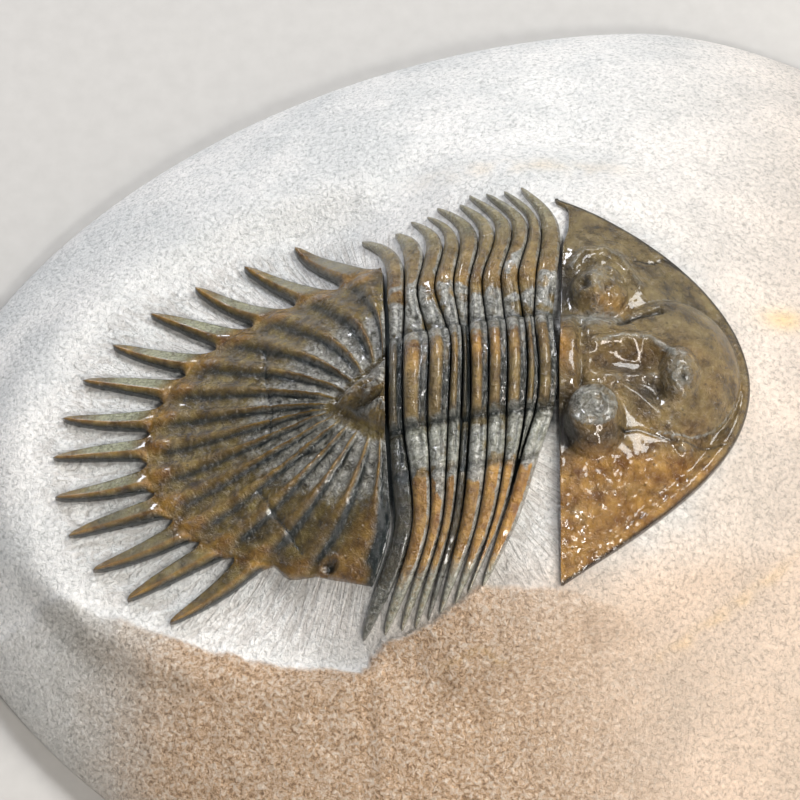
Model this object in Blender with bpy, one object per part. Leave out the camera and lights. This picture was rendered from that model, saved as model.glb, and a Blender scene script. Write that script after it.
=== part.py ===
"""A spiny-tailed trilobite lying on its egg-shaped block of limestone.

The shell is twelve loose plates, as in the animal: head shield, ten thoracic segments and tail
shield. All of them follow one arched surface, and the stone is cut to the same surface below them.
X runs from the tail to the head, Z is up, and the origin is in the middle of the stone's flat base.
Lengths are in millimetres until a mesh is made.
"""

from math import cos, exp, inf, log, pi, radians, sin, sqrt

import bmesh
import bpy

MM = 0.001

# Stone: an egg in plan, pointed at the tail end, domed on top and flat underneath
STONE_WIDEST_X = 11.9
STONE_TAIL_LENGTH = 70.8
STONE_HEAD_LENGTH = 47.0
STONE_HALF_WIDTH = 50.2
STONE_SQUARENESS = 1.8
STONE_RIM_Z = 2.2
STONE_DOME = 24.0
STONE_DOME_POWER = 0.75
STONE_HEAD_FALL = 0.09
STONE_HEAD_FALL_X = -6.0
STONE_HEAD_FALL_SOFTNESS = 4.0
STONE_BASE_TUCK = 0.975
STONE_ANGLES = 60
STONE_RINGS = 16
STONE_CENTRE = (-12.0, -1.0)

# Bed: the surface that the shell lies on, arched from head to tail and across
MIDLINE_Y = -0.5
MIDLINE_SLOPE = 0.035
ARCH_FOOT = 11.5
ARCH_RISE = 16.9
ARCH_TOP_X = 2.0
ARCH_HALF_LENGTH = 50.0
CURL_TAIL = (-22.0, 0.0187)
CURL_THORAX = (-8.0, 0.0110)
CURL_HEAD = (4.0, 0.0083)
FLOOR_Z = 12.6
FLOOR_X = -45.0
FLOOR_SLOPE = 0.08
FLOOR_SOFTNESS = 2.0

# Plates: their underside and the gap to the stone and to each other
PLATE_DEPTH = 1.2
GAP = 0.3
AXIS_CENTRE_T = 1.0
AXIS_HALF_WIDTH = 4.5
AXIS_RISE = 2.4
PLEURA_SWELL = 0.5
PLEURA_SWELL_AT = 9.0
PLEURA_SWELL_WIDTH = 3.0

# Basin prepared around the shell: plan ellipses as centre x, half length and half width
BASIN_TAIL = (-22.0, 24.5, 21.0)
BASIN_THORAX = (-6.0, 15.0, 22.3)
BASIN_HEAD = (4.0, 15.0, 19.0)
BASIN_BANK = (0.0, 7.0)
LEDGE_BANK = (1.5, 4.0)
LEDGE_T = (-8.0, -16.0)

# Head shield
HEAD_FRONT_X = 18.8
HEAD_HALF_WIDTH = 19.05
HEAD_MARGIN_CURVE = 0.0475
HEAD_REAR_X = 1.35
HEAD_REAR_FAR_SKEW = 0.055
HEAD_COLUMNS = 28
HEAD_ROWS = 13
GLABELLA_FRONT = (11.8, 0.8, 6.0, 6.9, 2.3)
GLABELLA_WAIST = (1.4, 3.5)
GLABELLA_BOSS = (11.9, 0.4, 1.5, 1.4, 1.0)
GLABELLA_STEM_END = (8.0, 13.0)
OCCIPUT_EXTRA = 0.5
OCCIPUT_END = (2.6, 4.0)
EYES = ((4.3, -5.7, 2.7, 3.2, 3.1), (4.8, 7.9, 2.9, 3.1, 2.8))
LUMP_STEEPNESS = 0.6
CHEEK_RISE = 0.8
CHEEK_BAND = (0.5, 6.0)
HEAD_RIM_AT = 0.6
HEAD_RIM_WIDTH = 0.65
HEAD_RIM_RISE = 0.35
HEAD_EDGE_BAND = (-0.4, 1.1)
HEAD_LEAST_LENGTH = 0.3
HEAD_EVENNESS = 0.6

# Seams between the segments, counted from the head: x at each distance from the midline
SEAM_T = (-21.0, -12.3, -7.5, -3.5, 5.5, 9.5, 17.5, 21.0)
SEAM_X = (
    (-6.0, -1.9, -0.3, 1.0, 1.0, 1.5, 1.4, -0.6),
    (-7.2, -3.4, -1.9, -0.72, -0.72, -0.45, -0.25, -2.3),
    (-7.4, -3.5, -2.3, -1.65, -1.65, -2.05, -1.4, -4.0),
    (-7.9, -4.35, -3.5, -3.3, -3.3, -3.6, -2.9, -5.5),
    (-8.9, -5.75, -5.1, -4.95, -4.95, -5.3, -4.4, -6.9),
    (-10.0, -7.3, -6.75, -6.5, -6.5, -6.45, -6.1, -8.8),
    (-10.8, -8.05, -7.5, -7.3, -7.3, -7.85, -7.85, -10.6),
    (-12.0, -8.95, -8.6, -8.45, -8.45, -9.5, -9.25, -12.0),
    (-13.3, -10.1, -10.1, -10.3, -10.3, -11.1, -10.95, -13.6),
    (-15.0, -11.65, -11.9, -12.4, -12.4, -12.3, -13.6, -16.5),
    (-17.2, -13.35, -13.5, -13.75, -13.75, -13.9, -15.9, -20.5),
)
PLEURA_NEAR_TIP = (-18.4, -8.0, -18.8, -19.5, -20.0, -20.3, -20.7, -20.6, -20.6, -20.6)
PLEURA_FAR_TIP = (21.0, 20.8, 20.9, 21.1, 20.1, 20.4, 19.6, 19.6, 18.6, 19.0)
PLEURA_TAPER = 6.5
PLEURA_RIDGE = 0.35
PLEURA_TIP_HALF_WIDTH = 0.06
PLEURA_BUNCHING = 1.1
RING_RIDGE = 0.25
PLEURA_STATIONS = 8
RING_STATIONS = 6

# Tail shield: the margin between the spines is half an ellipse, and ribs fan out to it
TAIL_CENTRE_X = -17.0
TAIL_LENGTH = 19.0
TAIL_HALF_WIDTH = 13.5
TAIL_SKEW = 0.0575
TAIL_AXIS_APEX = (-18.6, 0.0)
TAIL_AXIS_CORNER = (-14.3, 3.6)
TAIL_FAR_CORNER = 14.5
TAIL_NEAR_CORNER = -16.5
RIB_PAIRS = 7
RIB_PITCH = radians(12.8)
RIB_TURN = radians(6.6)
RIB_SWING = 0.55
RIB_HEIGHT = 0.4
RIB_FADE = 0.3
RIB_START_POWER = 1.5
RIB_STEPS = 4
SHIELD_ROWS = 6
HUB_ROWS = 3
HUB_RISE = 2.3
SPINE_LENGTH = 9.0
SPINE_ROWS = 4
SPINE_NECK = 0.85
SPINE_TAPER = 0.8
SPINE_RIDGE = 0.5
SPINE_RIDGE_FALL = 0.6
BROKEN_SPINES = (-6, -7)


def clear_scene():
    for old in list(bpy.data.objects):
        bpy.data.objects.remove(old, do_unlink=True)


def make_material(name, colour, roughness):
    material = bpy.data.materials.new(name)
    material.use_nodes = True
    shader = material.node_tree.nodes["Principled BSDF"]
    shader.inputs["Base Color"].default_value = (*colour, 1.0)
    shader.inputs["Roughness"].default_value = roughness
    shader.inputs["Metallic"].default_value = 0.0
    material.diffuse_color = (*colour, 1.0)
    return material


def mix(a, b, share):
    return a + (b - a) * share


def ease(low, high, value):
    share = min(1.0, max(0.0, (value - low) / (high - low)))
    return share * share * (3.0 - 2.0 * share)


def through(points, x):
    """Straight runs through (x, value) points, level beyond the ends."""
    for (x0, y0), (x1, y1) in zip(points, points[1:]):
        if x < x1:
            return mix(y0, y1, min(1.0, max(0.0, (x - x0) / (x1 - x0))))
    return points[-1][1]


def smooth_through(stations, values, t):
    """A smooth curve through the values at the stations."""
    last = len(stations) - 1
    t = min(stations[last], max(stations[0], t))
    i = max(k for k in range(last) if stations[k] <= t)

    def slope(k):
        low, high = max(0, k - 1), min(last, k + 1)
        return (values[high] - values[low]) / (stations[high] - stations[low])

    step = stations[i + 1] - stations[i]
    s = (t - stations[i]) / step
    return (
        values[i] * (1 + 2 * s) * (1 - s) ** 2
        + slope(i) * step * s * (1 - s) ** 2
        + values[i + 1] * s * s * (3 - 2 * s)
        + slope(i + 1) * step * s * s * (s - 1)
    )


def bump(x, t, place):
    """A rounded lump: place is centre x, centre t, radii in x and t, and height."""
    centre_x, centre_t, radius_x, radius_t, height = place
    away = ((x - centre_x) / radius_x) ** 2 + ((t - centre_t) / radius_t) ** 2
    return height * (1 - away) ** LUMP_STEEPNESS if away < 1 else 0.0


def midline(x):
    return MIDLINE_Y + MIDLINE_SLOPE * x


def bed(x, t):
    """Height of the arched surface under the shell, t from the midline."""
    arch = ARCH_FOOT + ARCH_RISE * (0.5 + 0.5 * cos(pi * (x - ARCH_TOP_X) / ARCH_HALF_LENGTH))
    curl = through((CURL_TAIL, CURL_THORAX, CURL_HEAD), x)
    crown = arch - curl * t * t
    floor = FLOOR_Z + FLOOR_SLOPE * (x - FLOOR_X)
    return 0.5 * (crown + floor + sqrt((crown - floor) ** 2 + FLOOR_SOFTNESS**2))


def stone_reach(angle):
    """Plan point of the stone's outline at an angle about its widest place."""
    c, s = cos(angle), sin(angle)
    length = STONE_HEAD_LENGTH if c > 0 else STONE_TAIL_LENGTH
    power = 2.0 / STONE_SQUARENESS
    x = STONE_WIDEST_X + length * (abs(c) ** power) * (1 if c > 0 else -1)
    y = STONE_HALF_WIDTH * (abs(s) ** power) * (1 if s > 0 else -1)
    return x, y


def dome(x, y):
    length = STONE_HEAD_LENGTH if x > STONE_WIDEST_X else STONE_TAIL_LENGTH
    away = abs((x - STONE_WIDEST_X) / length) ** STONE_SQUARENESS
    away += abs(y / STONE_HALF_WIDTH) ** STONE_SQUARENESS
    height = STONE_RIM_Z + STONE_DOME * max(0.0, 1.0 - away) ** STONE_DOME_POWER
    soft = STONE_HEAD_FALL_SOFTNESS
    fall = STONE_HEAD_FALL * soft * log(1.0 + exp((x - STONE_HEAD_FALL_X) / soft))
    return height - fall * sqrt(max(0.0, 1.0 - away))


def outside_basin(x, t):
    """Rough distance outside the ground prepared around the shell."""
    least = inf
    for centre, length, width in (BASIN_TAIL, BASIN_THORAX, BASIN_HEAD):
        away = sqrt(((x - centre) / length) ** 2 + (t / width) ** 2) - 1.0
        least = min(least, away * min(length, width))
    return least


def stone_top(x, y):
    t = y - midline(x)
    away = outside_basin(x, t)
    near = ease(*LEDGE_T, t)
    bank = mix(ease(*BASIN_BANK, away), ease(*LEDGE_BANK, away), near)
    return mix(bed(x, t) - PLATE_DEPTH - GAP, dome(x, y), bank)


def make_object(name, vertices, faces, material, smooth=True):
    mesh = bpy.data.meshes.new(name)
    mesh.from_pydata([(x * MM, y * MM, z * MM) for x, y, z in vertices], [], faces)
    solid = bmesh.new()
    solid.from_mesh(mesh)
    bmesh.ops.recalc_face_normals(solid, faces=solid.faces)
    solid.to_mesh(mesh)
    solid.free()
    for face in mesh.polygons:
        face.use_smooth = smooth
    mesh.materials.append(material)
    made = bpy.data.objects.new(name, mesh)
    bpy.context.scene.collection.objects.link(made)
    return made


def make_plate(name, top, faces, material):
    """Closes a sheet of top points down to the common underside; a point is (x, t, height)."""
    under = [(x, t, bed(x, t) - PLATE_DEPTH) for x, t, z in top]
    count = len(top)
    edges = {}
    for face in faces:
        for a, b in zip(face, face[1:] + face[:1]):
            edges[(a, b)] = face
    rim = [(a, b) for a, b in edges if (b, a) not in edges]
    all_faces = [tuple(face) for face in faces]
    all_faces += [tuple(v + count for v in reversed(face)) for face in faces]
    all_faces += [(b, a, a + count, b + count) for a, b in rim]
    points = [(x, t + midline(x), z) for x, t, z in top + under]
    return make_object(name, points, all_faces, material)


def grid_faces(rows, columns):
    faces = []
    for r in range(rows - 1):
        for c in range(columns - 1):
            a = r * columns + c
            faces.append([a, a + 1, a + 1 + columns, a + columns])
    return faces


def build_stone(material):
    points = [(*STONE_CENTRE, stone_top(*STONE_CENTRE))]
    outline = [stone_reach(2 * pi * k / STONE_ANGLES) for k in range(STONE_ANGLES)]
    for ring in range(1, STONE_RINGS + 1):
        share = ring / STONE_RINGS
        for x, y in outline:
            px, py = mix(STONE_CENTRE[0], x, share), mix(STONE_CENTRE[1], y, share)
            points.append((px, py, stone_top(px, py)))
    for x, y in outline:
        points.append((mix(STONE_CENTRE[0], x, STONE_BASE_TUCK), y * STONE_BASE_TUCK, 0.0))
    faces = [(0, 1 + k, 1 + (k + 1) % STONE_ANGLES) for k in range(STONE_ANGLES)]
    for ring in range(STONE_RINGS):
        start = 1 + ring * STONE_ANGLES
        for k in range(STONE_ANGLES):
            nxt = (k + 1) % STONE_ANGLES
            lower = start + STONE_ANGLES
            faces.append((start + k, lower + k, lower + nxt, start + nxt))
    base = 1 + STONE_RINGS * STONE_ANGLES
    faces.append(tuple(base + k for k in reversed(range(STONE_ANGLES))))
    return make_object("matrix", points, faces, material)


def axis_relief(t):
    """Cross profile of the raised middle lobe."""
    off = t - AXIS_CENTRE_T
    inside = 1.0 - (off / AXIS_HALF_WIDTH) ** 2
    swell = PLEURA_SWELL * exp(-(((abs(off) - PLEURA_SWELL_AT) / PLEURA_SWELL_WIDTH) ** 2))
    return swell + (AXIS_RISE * sqrt(inside) if inside > 0 else 0.0)


def head_margin_x(t):
    return HEAD_FRONT_X - HEAD_MARGIN_CURVE * t * t


def head_rear_x(t):
    return HEAD_REAR_X + HEAD_REAR_FAR_SKEW * max(0.0, t)


def head_relief(x, t):
    """Height of the head shield above the bed."""
    lobe = bump(x, t, GLABELLA_FRONT)
    neck = 1.0 - ((t - GLABELLA_WAIST[0]) / GLABELLA_WAIST[1]) ** 2
    stem = AXIS_RISE * sqrt(neck) * (1.0 - ease(*GLABELLA_STEM_END, x)) if neck > 0 else 0.0
    ring = 1.0 - ((t - AXIS_CENTRE_T) / AXIS_HALF_WIDTH) ** 2
    occiput = (AXIS_RISE + OCCIPUT_EXTRA) * sqrt(ring) if ring > 0 else 0.0
    occiput *= 1.0 - ease(*OCCIPUT_END, x)
    height = max(lobe, stem, occiput) + bump(x, t, GLABELLA_BOSS)
    for eye in EYES:
        height = max(height, bump(x, t, eye))
    to_edge = (head_margin_x(t) - x) / sqrt(1.0 + (2 * HEAD_MARGIN_CURVE * t) ** 2)
    cheek = CHEEK_RISE * ease(*CHEEK_BAND, to_edge)
    rim = HEAD_RIM_RISE * exp(-(((to_edge - HEAD_RIM_AT) / HEAD_RIM_WIDTH) ** 2))
    return max(height, cheek) * ease(*HEAD_EDGE_BAND, to_edge) + rim


def build_head(material):
    top = []
    for row in range(HEAD_ROWS + 1):
        share = row / HEAD_ROWS
        for column in range(HEAD_COLUMNS + 1):
            t = -HEAD_HALF_WIDTH * cos(pi * column / HEAD_COLUMNS)
            t = mix(t, HEAD_HALF_WIDTH * (2 * column / HEAD_COLUMNS - 1), HEAD_EVENNESS)
            rear = head_rear_x(t)
            x = mix(rear, max(head_margin_x(t), rear + HEAD_LEAST_LENGTH), share)
            top.append((x, t, bed(x, t) + head_relief(x, t)))
    return make_plate("cephalon", top, grid_faces(HEAD_ROWS + 1, HEAD_COLUMNS + 1), material)


def seam_x(seam, t):
    return smooth_through(SEAM_T, SEAM_X[seam], t)


def build_segment(number, material):
    """One thoracic segment: an arched ring in the middle and a long pointed blade on each side."""
    near, far = PLEURA_NEAR_TIP[number - 1], PLEURA_FAR_TIP[number - 1]
    low, high = AXIS_CENTRE_T - AXIS_HALF_WIDTH, AXIS_CENTRE_T + AXIS_HALF_WIDTH
    stations = [mix(near, low, (k / PLEURA_STATIONS) ** (2.0 - PLEURA_BUNCHING)) for k in range(PLEURA_STATIONS)]
    stations += [
        AXIS_CENTRE_T - AXIS_HALF_WIDTH * cos(pi * k / RING_STATIONS) for k in range(RING_STATIONS)
    ]
    stations += [
        mix(high, far, (k / PLEURA_STATIONS) ** PLEURA_BUNCHING) for k in range(PLEURA_STATIONS + 1)
    ]
    top = []
    for t in stations:
        front, rear = seam_x(number - 1, t), seam_x(number, t)
        left = min(t - near, far - t) / PLEURA_TAPER
        shape = sqrt(min(1.0, max(0.0, left))) if left < 1 else 1.0
        half = max(PLEURA_TIP_HALF_WIDTH, 0.5 * (front - rear - GAP) * shape)
        middle = 0.5 * (front + rear)
        lift = axis_relief(t)
        ridge = PLEURA_RIDGE * shape + (RING_RIDGE if low < t < high else 0.0)
        for across in (-1.0, 0.0, 1.0):
            x = middle + across * half
            top.append((x, t, bed(x, t) + lift + ridge * (1.0 - across * across)))
    faces = grid_faces(len(stations), 3)
    return make_plate(f"thoracic_segment_{number:02d}", top, faces, material)


def tail_margin(rib):
    """Where a rib, or the space between two, meets the margin; rib 0 is the middle one."""
    angle = RIB_PITCH * rib
    x = TAIL_CENTRE_X - TAIL_LENGTH * cos(angle)
    t = TAIL_HALF_WIDTH * sin(angle)
    return x, t


def rib_point(rib, share):
    """Point on the curve of a rib, from the axis at 0 to the margin at 1."""
    side = 1.0 if rib > 0 else -1.0
    start = min(1.0, abs(rib) / RIB_PAIRS) ** RIB_START_POWER
    ax = mix(TAIL_AXIS_APEX[0], TAIL_AXIS_CORNER[0], start)
    at = mix(TAIL_AXIS_APEX[1], TAIL_AXIS_CORNER[1], start) * side
    bx, bt = tail_margin(rib)
    swing = RIB_SWING * sqrt((bx - ax) ** 2 + (bt - at) ** 2)
    cx = bx + swing * cos(RIB_TURN * rib)
    ct = bt - swing * sin(RIB_TURN * rib)
    keep = (1 - share) ** 2
    x = keep * ax + 2 * share * (1 - share) * cx + share * share * bx
    t = keep * at + 2 * share * (1 - share) * ct + share * share * bt
    return x + TAIL_SKEW * t, t


def front_edge_point(side, share):
    corner = TAIL_FAR_CORNER if side > 0 else TAIL_NEAR_CORNER
    t = mix(TAIL_AXIS_CORNER[1] * side, corner, share)
    return seam_x(10, t) - GAP, t


def shield_point(rib, share):
    """Rib curves over the fan; the last rib lies halfway to the straight front edge."""
    beyond = abs(rib) - (RIB_PAIRS - 0.5)
    if beyond <= 0:
        return rib_point(rib, share)
    side = 1.0 if rib > 0 else -1.0
    x0, t0 = rib_point(side * (RIB_PAIRS - 0.5), share)
    x1, t1 = front_edge_point(side, share)
    return mix(x0, x1, beyond), mix(t0, t1, beyond)


def on_bed(x, t, rise):
    return x, t, bed(x, t) + rise


def shield_rise(rib, share):
    wave = 0.5 + 0.5 * cos(2 * pi * rib)
    return RIB_HEIGHT * wave * ease(0.0, RIB_FADE, share)


def hub_rise(share):
    """Profile of the short axis, from the middle of the front edge at 0 to its border at 1."""
    return HUB_RISE * sqrt(1.0 - share * share)


def tail_column(rib):
    """Top points along one rib line: over the axis, then out to the margin."""
    start_x, start_t = shield_point(rib, 0.0)
    middle_x = seam_x(10, 0.0) - GAP
    points = []
    for row in range(1, HUB_ROWS):
        share = row / HUB_ROWS
        points.append(on_bed(mix(middle_x, start_x, share), start_t * share, hub_rise(share)))
    for row in range(SHIELD_ROWS + 1):
        share = row / SHIELD_ROWS
        points.append(on_bed(*shield_point(rib, share), shield_rise(rib, share)))
    return points


def add_spine(rib, top, faces, base):
    """A blade with a ridge down its middle, grown from the margin vertices in base."""
    first, last = top[base[0]], top[base[-1]]
    half_x, half_t = 0.5 * (last[0] - first[0]), 0.5 * (last[1] - first[1])
    root_x, root_t = 0.5 * (first[0] + last[0]), 0.5 * (first[1] + last[1])
    row_before = base
    for row in range(1, SPINE_ROWS):
        out = row / SPINE_ROWS
        width = SPINE_NECK * (1.0 - out) ** SPINE_TAPER
        row_now = []
        for k in range(len(base)):
            across = 2.0 * k / (len(base) - 1) - 1.0
            x = root_x - SPINE_LENGTH * out * cos(RIB_TURN * rib) + across * half_x * width
            t = root_t + SPINE_LENGTH * out * sin(RIB_TURN * rib) + across * half_t * width
            ridge = SPINE_RIDGE * (1.0 - abs(across)) * (1.0 - SPINE_RIDGE_FALL * out)
            row_now.append(len(top))
            top.append((x, t, bed(x, t) + ridge))
        for k in range(len(base) - 1):
            faces.append([row_before[k], row_before[k + 1], row_now[k + 1], row_now[k]])
        row_before = row_now
    x = root_x - SPINE_LENGTH * cos(RIB_TURN * rib)
    t = root_t + SPINE_LENGTH * sin(RIB_TURN * rib)
    top.append((x, t, bed(x, t)))
    for k in range(len(base) - 1):
        faces.append([row_before[k], row_before[k + 1], len(top) - 1])


def build_tail(material):
    steps = int((RIB_PAIRS + 0.5) * RIB_STEPS)
    ribs = [k / RIB_STEPS for k in range(-steps, steps + 1)]
    columns = HUB_ROWS + SHIELD_ROWS
    top = [point for rib in ribs for point in tail_column(rib)]
    faces = [list(reversed(face)) for face in grid_faces(len(ribs), columns)]
    top.append(on_bed(seam_x(10, 0.0) - GAP, 0.0, hub_rise(0.0)))
    for k in range(len(ribs) - 1):
        faces.append([(k + 1) * columns, k * columns, len(top) - 1])
    for rib in range(-RIB_PAIRS, RIB_PAIRS + 1):
        if rib in BROKEN_SPINES:
            continue
        middle = rib * RIB_STEPS + steps
        reach = RIB_STEPS // 2
        base = [k * columns + columns - 1 for k in range(middle - reach, middle + reach + 1)]
        add_spine(rib, top, faces, base)
    return make_plate("pygidium", top, faces, material)


def main():
    clear_scene()
    stone = make_material("limestone", (0.62, 0.56, 0.47), 0.85)
    build_stone(stone)
    shell = make_material("head_shell", (0.23, 0.15, 0.07), 0.3)
    build_head(shell)
    for number in range(1, len(SEAM_X)):
        shade = make_material(f"segment_shell_{number:02d}", (0.22, 0.15, 0.08), 0.3)
        build_segment(number, shade)
    build_tail(make_material("tail_shell", (0.15, 0.12, 0.08), 0.32))


main()
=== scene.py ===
# Spiny-tailed trilobite on its block of pale limestone, dressed for a render.
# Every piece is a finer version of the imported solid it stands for, in the same place.
# X runs from tail to head, +Y is the far side from the camera and Z is up.
# Shapes are worked out in millimetres; t is the distance from the animal's midline.

from math import cos, pi, radians, sin, tau

import bmesh
import bpy
import numpy as np
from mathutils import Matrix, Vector, noise


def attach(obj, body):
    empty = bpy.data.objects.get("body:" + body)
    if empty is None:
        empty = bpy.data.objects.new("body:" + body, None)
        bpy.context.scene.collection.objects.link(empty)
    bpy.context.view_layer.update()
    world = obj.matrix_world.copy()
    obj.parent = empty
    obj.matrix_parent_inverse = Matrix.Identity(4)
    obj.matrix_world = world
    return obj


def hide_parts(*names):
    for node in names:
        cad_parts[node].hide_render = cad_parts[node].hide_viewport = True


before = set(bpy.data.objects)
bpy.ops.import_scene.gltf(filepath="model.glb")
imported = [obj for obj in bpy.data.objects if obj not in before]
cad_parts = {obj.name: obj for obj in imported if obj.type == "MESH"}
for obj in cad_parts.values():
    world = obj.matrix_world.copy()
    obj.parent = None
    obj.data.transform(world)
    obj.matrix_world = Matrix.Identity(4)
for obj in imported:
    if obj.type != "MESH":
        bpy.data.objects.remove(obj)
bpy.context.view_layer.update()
mm = 0.001
farAway = 99.0  # mm, further than anything that is measured
print("frame loaded with", len(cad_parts), "nodes")


# helpers for shapes


def mix(a, b, share):
    return a + (b - a) * share


def ease(low, high, value):
    share = np.clip((np.asarray(value, dtype=float) - low) / (high - low), 0.0, 1.0)
    return share * share * (3.0 - 2.0 * share)


def hill(away):
    # 1 at the middle, falling smoothly to nothing a little past 1
    return np.exp(-np.square(away))


def between(low, high, soft, value):
    return ease(low - soft, low + soft, value) * (1.0 - ease(high - soft, high + soft, value))


def smoothCurve(stations, values, at):
    # smooth line through measured points, level beyond the ends
    stations = np.array(stations, dtype=float)
    values = np.array(values, dtype=float)
    slopes = np.gradient(values, stations)
    at = np.clip(at, stations[0], stations[-1])
    i = np.clip(np.searchsorted(stations, at, side="right") - 1, 0, len(stations) - 2)
    step = stations[i + 1] - stations[i]
    s = (at - stations[i]) / step
    start = values[i] * (1 + 2 * s) * (1 - s) ** 2 + slopes[i] * step * s * (1 - s) ** 2
    end = values[i + 1] * s * s * (3 - 2 * s) + slopes[i + 1] * step * s * s * (s - 1)
    return start + end


def uneven(x, t, size, seed, octaves=2):
    # smooth natural height between about -1 and 1, with lumps of that size in mm
    flat = zip(np.ravel(x) / size, np.ravel(t) / size)
    values = [noise.fractal((a, b, seed), 1.0, 2.0, octaves) for a, b in flat]
    return np.array(values).reshape(np.shape(x))


def distanceToLine(x, t, points):
    # distance in mm to a line drawn through the points
    least = np.full(np.shape(x), farAway)
    for (x0, t0), (x1, t1) in zip(points, points[1:]):
        length = (x1 - x0) ** 2 + (t1 - t0) ** 2
        along = np.clip(((x - x0) * (x1 - x0) + (t - t0) * (t1 - t0)) / length, 0.0, 1.0)
        away = np.hypot(x - x0 - along * (x1 - x0), t - t0 - along * (t1 - t0))
        least = np.minimum(least, away)
    return least


def ovalAway(x, t, place):
    # 0 at the middle of an oval and 1 on its edge; place is centre x, t and radii x, t
    centreX, centreT, radiusX, radiusT = place
    return np.hypot((x - centreX) / radiusX, (t - centreT) / radiusT)


def patch(x, t, place):
    # soft oval spot, 1 at its middle
    return hill(ovalAway(x, t, place))


def mound(x, t, place, height, steepness):
    away = ovalAway(x, t, place)
    return height * np.clip(1.0 - away * away, 0.0, 1.0) ** steepness


def gridFaces(rows, columns):
    corner = np.arange((rows - 1) * columns).reshape(rows - 1, columns)[:, :-1].ravel()
    return np.stack([corner, corner + 1, corner + 1 + columns, corner + columns], axis=1).tolist()


def makePiece(name, points, faces, masks, material, node):
    # points in mm; masks are what the material reads to place its colours
    mesh = bpy.data.meshes.new(name)
    mesh.from_pydata((np.asarray(points) * mm).tolist(), [], faces)
    solid = bmesh.new()
    solid.from_mesh(mesh)
    bmesh.ops.recalc_face_normals(solid, faces=solid.faces)
    solid.to_mesh(mesh)
    solid.free()
    mesh.shade_smooth()
    for maskName, values in masks.items():
        mask = mesh.attributes.new(maskName, "FLOAT", "POINT")
        mask.data.foreach_set("value", np.clip(values, 0.0, 1.0).astype(np.float32).ravel())
    mesh.materials.append(material)
    piece = bpy.data.objects.new(name, mesh)
    bpy.context.scene.collection.objects.link(piece)
    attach(piece, "root")
    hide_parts(node)
    print(name, "has", len(mesh.polygons), "faces")
    return piece


def closePlate(name, x, t, lift, faces, masks, material, node):
    # top sheet of a shell plate closed down to the level underside that all the plates share
    x, t, lift = np.ravel(x), np.ravel(t), np.ravel(lift)
    y = t + midline(x)
    ground = bedHeight(x, t)
    top = np.stack([x, y, ground + lift], axis=1)
    under = np.stack([x, y, ground - bed["plateDepth"]], axis=1)
    count = len(x)
    edges = set()
    for face in faces:
        edges.update(zip(face, face[1:] + face[:1]))
    rim = [(a, b) for a, b in edges if (b, a) not in edges]
    allFaces = list(faces)
    allFaces += [[v + count for v in reversed(face)] for face in faces]
    allFaces += [[b, a, a + count, b + count] for a, b in sorted(rim)]
    doubled = {key: np.tile(np.ravel(value), 2) for key, value in masks.items()}
    points = np.concatenate([top, under])
    return makePiece(name, points, allFaces, doubled, material, node)


# helpers for materials


def hexColour(code):
    # sRGB hex to the linear numbers that a shader takes
    channels = [int(code[i:i + 2], 16) / 255 for i in (0, 2, 4)]
    linear = [c / 12.92 if c <= 0.04045 else ((c + 0.055) / 1.055) ** 2.4 for c in channels]
    return (*linear, 1.0)


def addNode(tree, kind, settings=None, stops=None, **inputs):
    # inputs are given as their names in camelCase or as in0, in1 for their numbers
    node = tree.nodes.new("ShaderNode" + kind)
    for key, value in (settings or {}).items():
        setattr(node, key, value)
    if stops:
        ramp = node.color_ramp
        while len(ramp.elements) < len(stops):
            ramp.elements.new(0.5)
        for element, (place, colour) in zip(ramp.elements, stops):
            element.position = place
            element.color = hexColour(colour)
    for key, value in inputs.items():
        if key.startswith("in") and key[2:].isdigit():
            socket = node.inputs[int(key[2:])]
        else:
            wanted = key.lower()
            socket = next(s for s in node.inputs if s.name.replace(" ", "").lower() == wanted)
        if isinstance(value, bpy.types.NodeSocket):
            tree.links.new(value, socket)
        else:
            socket.default_value = value
    return node


def startMaterial(name, maskNames, noises):
    # a material with the masks and noise patterns it reads; a noise is its name, the size of
    # its grains in mm, detail, roughness and distortion
    material = bpy.data.materials.new(name)
    material.use_nodes = True
    tree = material.node_tree
    place = addNode(tree, "TexCoord").outputs["Object"]
    scaled = addNode(tree, "VectorMath", {"operation": "SCALE"}, vector=place, scale=1 / mm)
    inMm = scaled.outputs[0]
    mask = {}
    for maskName in maskNames:
        mask[maskName] = addNode(tree, "Attribute", {"attribute_name": maskName}).outputs["Fac"]
    pattern = {}
    for noiseName, size, detail, rough, swirl in noises:
        values = {"scale": 1 / size, "detail": detail, "roughness": rough, "distortion": swirl}
        pattern[noiseName] = addNode(tree, "TexNoise", vector=inMm, **values).outputs["Fac"]
    return material, tree, inMm, mask, pattern


# the bed that the shell lies on, arched from head to tail and across

bed = {
    "midlineY": -0.5,
    "midlineSlope": 0.035,
    "archFoot": 11.5,
    "archRise": 16.9,
    "archTopX": 2.0,
    "archHalfLength": 50.0,
    "curlX": (-22.0, -8.0, 4.0),
    "curl": (0.0187, 0.0110, 0.0083),
    "floorZ": 12.6,
    "floorX": -45.0,
    "floorSlope": 0.08,
    "floorSoftness": 2.0,
    "plateDepth": 1.2,
    "gap": 0.3,
}

axis = {
    "centreT": 1.0,
    "halfWidth": 4.5,
    "rise": 2.4,
    "pleuraSwell": 0.5,
    "furrowDepth": 0.25,
}


def midline(x):
    return bed["midlineY"] + bed["midlineSlope"] * x


def bedHeight(x, t):
    phase = pi * (x - bed["archTopX"]) / bed["archHalfLength"]
    arch = bed["archFoot"] + bed["archRise"] * (0.5 + 0.5 * np.cos(phase))
    crown = arch - np.interp(x, bed["curlX"], bed["curl"]) * t * t
    floor = bed["floorZ"] + bed["floorSlope"] * (x - bed["floorX"])
    return 0.5 * (crown + floor + np.sqrt((crown - floor) ** 2 + bed["floorSoftness"] ** 2))


# materials

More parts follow.
